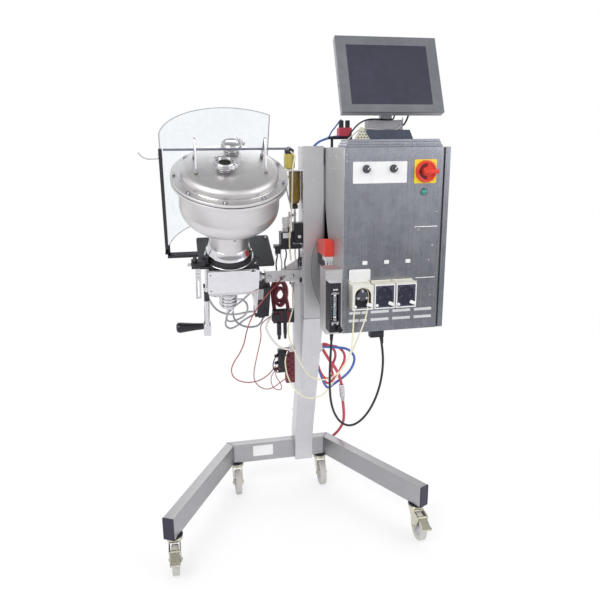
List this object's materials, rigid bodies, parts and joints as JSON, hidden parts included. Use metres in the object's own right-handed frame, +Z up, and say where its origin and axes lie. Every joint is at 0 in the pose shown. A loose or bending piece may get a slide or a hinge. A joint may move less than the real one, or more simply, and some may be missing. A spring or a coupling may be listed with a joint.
{
  "type": "mobile tilting drum bioreactor",
  "caption": "Wheeled stand with a tilting, rotating stainless drum, crank and guard on one side of a mast and a control cabinet with pumps and monitor on the other.",
  "frame": {"origin": "bottom centre of the bounding box without the hoses and cables, on the floor", "axes": "+Z up, +X to the right seen from the front, -Y towards the operator"},
  "size_m": [0.9652, 0.6106, 1.7398],
  "materials": {
    "base_frame": "brushed stainless tube",
    "leg_end_caps": "black plug caps",
    "mast_lower": "brushed",
    "mast_upper": "brushed",
    "cable_duct": "satin",
    "caster_plates": "zinc plated",
    "cabinet_shell": "brushed",
    "front_panel": "brushed",
    "cabinet_cover": "brushed",
    "controller_unit": "moulded case",
    "switch_plate": "yellow",
    "pump_heads": "light grey",
    "flow_meter": "black with glass tube",
    "wall_connectors": "red hood, black inlet",
    "monitor_pedestal": "satin",
    "tilt_bracket": "bright",
    "air_filters": "yellow bowls",
    "service_blocks": "black and dark red",
    "power_cable": "black",
    "pump_tube": "cream silicone",
    "sensor_cable": "red",
    "drain_hose": "red",
    "hose_coupling": "black",
    "caster_fork_front_left": "zinc",
    "caster_wheel_front_left": "light grey",
    "brake_pedal_front_left": "dark",
    "caster_fork_front_right": "zinc",
    "caster_wheel_front_right": "light grey",
    "brake_pedal_front_right": "dark",
    "caster_fork_rear_left": "zinc",
    "caster_wheel_rear_left": "light grey",
    "caster_fork_rear_right": "zinc",
    "caster_wheel_rear_right": "light grey",
    "drive_chassis": "black",
    "gearbox": "bright milled",
    "drive_motor": "black",
    "rotary_union": "ribbed grey",
    "guard_sheet": "clear sheet",
    "union_hose": "grey braided",
    "drum_body": "bead blasted",
    "drum_lid": "satin",
    "lid_gasket": "black",
    "lid_bolts": "bright",
    "lid_handles": "bright",
    "port_clamps": "polished",
    "lid_rod": "bright",
    "crank_rod": "bright",
    "crank_grip": "black",
    "monitor_housing": "satin grey",
    "monitor_screen": "dark screen",
    "switch_handle": "red",
    "selector_knob_left": "black",
    "selector_knob_right": "black",
    "flow_meter_knob": "black",
    "pump_rotor_1": "dark",
    "pump_cover_1": "cream",
    "pump_rotor_2": "dark",
    "pump_cover_2": "cream",
    "pump_rotor_3": "dark",
    "pump_cover_3": "cream"
  },
  "bodies": {
    "root": {"base_frame": "base_frame", "leg_end_caps": "leg_end_caps", "mast_lower": "mast_lower", "mast_upper": "mast_upper", "cable_duct": "cable_duct", "caster_plates": "caster_plates", "cabinet_shell": "cabinet_shell", "front_panel": "front_panel", "cabinet_cover": "cabinet_cover", "controller_unit": "controller_unit", "switch_plate": "switch_plate", "pump_heads": "pump_heads", "flow_meter": "flow_meter", "wall_connectors": "wall_connectors", "monitor_pedestal": "monitor_pedestal", "tilt_bracket": "tilt_bracket", "air_filters": "air_filters", "service_blocks": "service_blocks", "power_cable": "power_cable", "pump_tube": "pump_tube", "sensor_cable": "sensor_cable", "drain_hose": "drain_hose", "hose_coupling": "hose_coupling"},
    "fork_front_left": {"caster_fork_front_left": "caster_fork_front_left"},
    "wheel_front_left": {"caster_wheel_front_left": "caster_wheel_front_left"},
    "pedal_front_left": {"brake_pedal_front_left": "brake_pedal_front_left"},
    "fork_front_right": {"caster_fork_front_right": "caster_fork_front_right"},
    "wheel_front_right": {"caster_wheel_front_right": "caster_wheel_front_right"},
    "pedal_front_right": {"brake_pedal_front_right": "brake_pedal_front_right"},
    "fork_rear_left": {"caster_fork_rear_left": "caster_fork_rear_left"},
    "wheel_rear_left": {"caster_wheel_rear_left": "caster_wheel_rear_left"},
    "fork_rear_right": {"caster_fork_rear_right": "caster_fork_rear_right"},
    "wheel_rear_right": {"caster_wheel_rear_right": "caster_wheel_rear_right"},
    "tilt_unit": {"drive_chassis": "drive_chassis", "gearbox": "gearbox", "drive_motor": "drive_motor", "rotary_union": "rotary_union", "guard_sheet": "guard_sheet", "union_hose": "union_hose"},
    "drum": {"drum_body": "drum_body", "drum_lid": "drum_lid", "lid_gasket": "lid_gasket", "lid_bolts": "lid_bolts", "lid_handles": "lid_handles", "port_clamps": "port_clamps", "lid_rod": "lid_rod"},
    "crank": {"crank_rod": "crank_rod"},
    "grip": {"crank_grip": "crank_grip"},
    "monitor": {"monitor_housing": "monitor_housing", "monitor_screen": "monitor_screen"},
    "switch": {"switch_handle": "switch_handle"},
    "knob_left": {"selector_knob_left": "selector_knob_left"},
    "knob_right": {"selector_knob_right": "selector_knob_right"},
    "meter_knob": {"flow_meter_knob": "flow_meter_knob"},
    "rotor_1": {"pump_rotor_1": "pump_rotor_1"},
    "cover_1": {"pump_cover_1": "pump_cover_1"},
    "rotor_2": {"pump_rotor_2": "pump_rotor_2"},
    "cover_2": {"pump_cover_2": "pump_cover_2"},
    "rotor_3": {"pump_rotor_3": "pump_rotor_3"},
    "cover_3": {"pump_cover_3": "pump_cover_3"}
  },
  "joints": [
    {"name": "swivel_front_left", "type": "hinge", "parent": "root", "child": "fork_front_left", "pos_m": [-0.44708, -0.19394, 0.127], "axis": [0, 0, 1], "continuous": true},
    {"name": "roll_front_left", "type": "hinge", "parent": "fork_front_left", "child": "wheel_front_left", "pos_m": [-0.44708, -0.22894, 0.05], "axis": [1, 0, 0], "continuous": true},
    {"name": "brake_front_left", "type": "hinge", "parent": "fork_front_left", "child": "pedal_front_left", "pos_m": [-0.44708, -0.25594, 0.101], "axis": [-1, 0, 0], "range_deg": [0, 20]},
    {"name": "swivel_front_right", "type": "hinge", "parent": "root", "child": "fork_front_right", "pos_m": [0.42822, -0.19394, 0.127], "axis": [0, 0, 1], "continuous": true},
    {"name": "roll_front_right", "type": "hinge", "parent": "fork_front_right", "child": "wheel_front_right", "pos_m": [0.42822, -0.22894, 0.05], "axis": [1, 0, 0], "continuous": true},
    {"name": "brake_front_right", "type": "hinge", "parent": "fork_front_right", "child": "pedal_front_right", "pos_m": [0.42822, -0.25594, 0.101], "axis": [-1, 0, 0], "range_deg": [0, 20]},
    {"name": "swivel_rear_left", "type": "hinge", "parent": "root", "child": "fork_rear_left", "pos_m": [-0.18743, 0.24928, 0.127], "axis": [0, 0, 1], "continuous": true},
    {"name": "roll_rear_left", "type": "hinge", "parent": "fork_rear_left", "child": "wheel_rear_left", "pos_m": [-0.18743, 0.21428, 0.05], "axis": [1, 0, 0], "continuous": true},
    {"name": "swivel_rear_right", "type": "hinge", "parent": "root", "child": "fork_rear_right", "pos_m": [0.16857, 0.24928, 0.127], "axis": [0, 0, 1], "continuous": true},
    {"name": "roll_rear_right", "type": "hinge", "parent": "fork_rear_right", "child": "wheel_rear_right", "pos_m": [0.16857, 0.21428, 0.05], "axis": [1, 0, 0], "continuous": true},
    {"name": "drum_tilt", "type": "hinge", "parent": "root", "child": "tilt_unit", "pos_m": [-0.20943, 0.04228, 0.957], "axis": [1, 0, 0], "range_deg": [-27, 63]},
    {"name": "drum_spin", "type": "hinge", "parent": "tilt_unit", "child": "drum", "pos_m": [-0.20943, 0.04228, 0.957], "axis": [0, -0.454, 0.891], "continuous": true},
    {"name": "crank_turn", "type": "hinge", "parent": "tilt_unit", "child": "crank", "pos_m": [-0.28943, 0.08654, 0.78202], "axis": [0, -0.454, 0.891], "range_deg": [-810, 1890]},
    {"name": "grip_spin", "type": "hinge", "parent": "crank", "child": "grip", "pos_m": [-0.30243, 0.09244, 0.77044], "axis": [-1, 0, 0], "continuous": true},
    {"name": "monitor_tilt", "type": "hinge", "parent": "root", "child": "monitor", "pos_m": [0.31057, -0.08259, 1.51763], "axis": [1, 0, 0], "range_deg": [-12, 24]},
    {"name": "switch_turn", "type": "hinge", "parent": "root", "child": "switch", "pos_m": [0.39857, -0.22072, 1.323], "axis": [0, -1, 0], "range_deg": [0, 90]},
    {"name": "knob_left_turn", "type": "hinge", "parent": "root", "child": "knob_left", "pos_m": [0.20457, -0.22072, 1.333], "axis": [0, -1, 0], "range_deg": [-135, 135]},
    {"name": "knob_right_turn", "type": "hinge", "parent": "root", "child": "knob_right", "pos_m": [0.29257, -0.22072, 1.333], "axis": [0, -1, 0], "range_deg": [-135, 135]},
    {"name": "meter_knob_turn", "type": "hinge", "parent": "root", "child": "meter_knob", "pos_m": [0.10657, -0.26872, 0.84], "axis": [0, -1, 0], "range_deg": [-350, 350]},
    {"name": "pump_1_turn", "type": "hinge", "parent": "root", "child": "rotor_1", "pos_m": [0.18657, -0.26272, 0.941], "axis": [0, -1, 0], "continuous": true},
    {"name": "cover_1_swing", "type": "hinge", "parent": "root", "child": "cover_1", "pos_m": [0.18657, -0.22472, 0.9783], "axis": [-1, 0, 0], "range_deg": [-88, 4]},
    {"name": "pump_2_turn", "type": "hinge", "parent": "root", "child": "rotor_2", "pos_m": [0.25907, -0.26272, 0.941], "axis": [0, -1, 0], "continuous": true},
    {"name": "cover_2_swing", "type": "hinge", "parent": "root", "child": "cover_2", "pos_m": [0.25907, -0.22472, 0.9783], "axis": [-1, 0, 0], "range_deg": [0, 92]},
    {"name": "pump_3_turn", "type": "hinge", "parent": "root", "child": "rotor_3", "pos_m": [0.33157, -0.26272, 0.941], "axis": [0, -1, 0], "continuous": true},
    {"name": "cover_3_swing", "type": "hinge", "parent": "root", "child": "cover_3", "pos_m": [0.33157, -0.22472, 0.9783], "axis": [-1, 0, 0], "range_deg": [0, 92]}
  ],
  "couplings": [
    {"joint": "crank_turn", "follows": "drum_tilt", "ratio": 30}
  ]
}
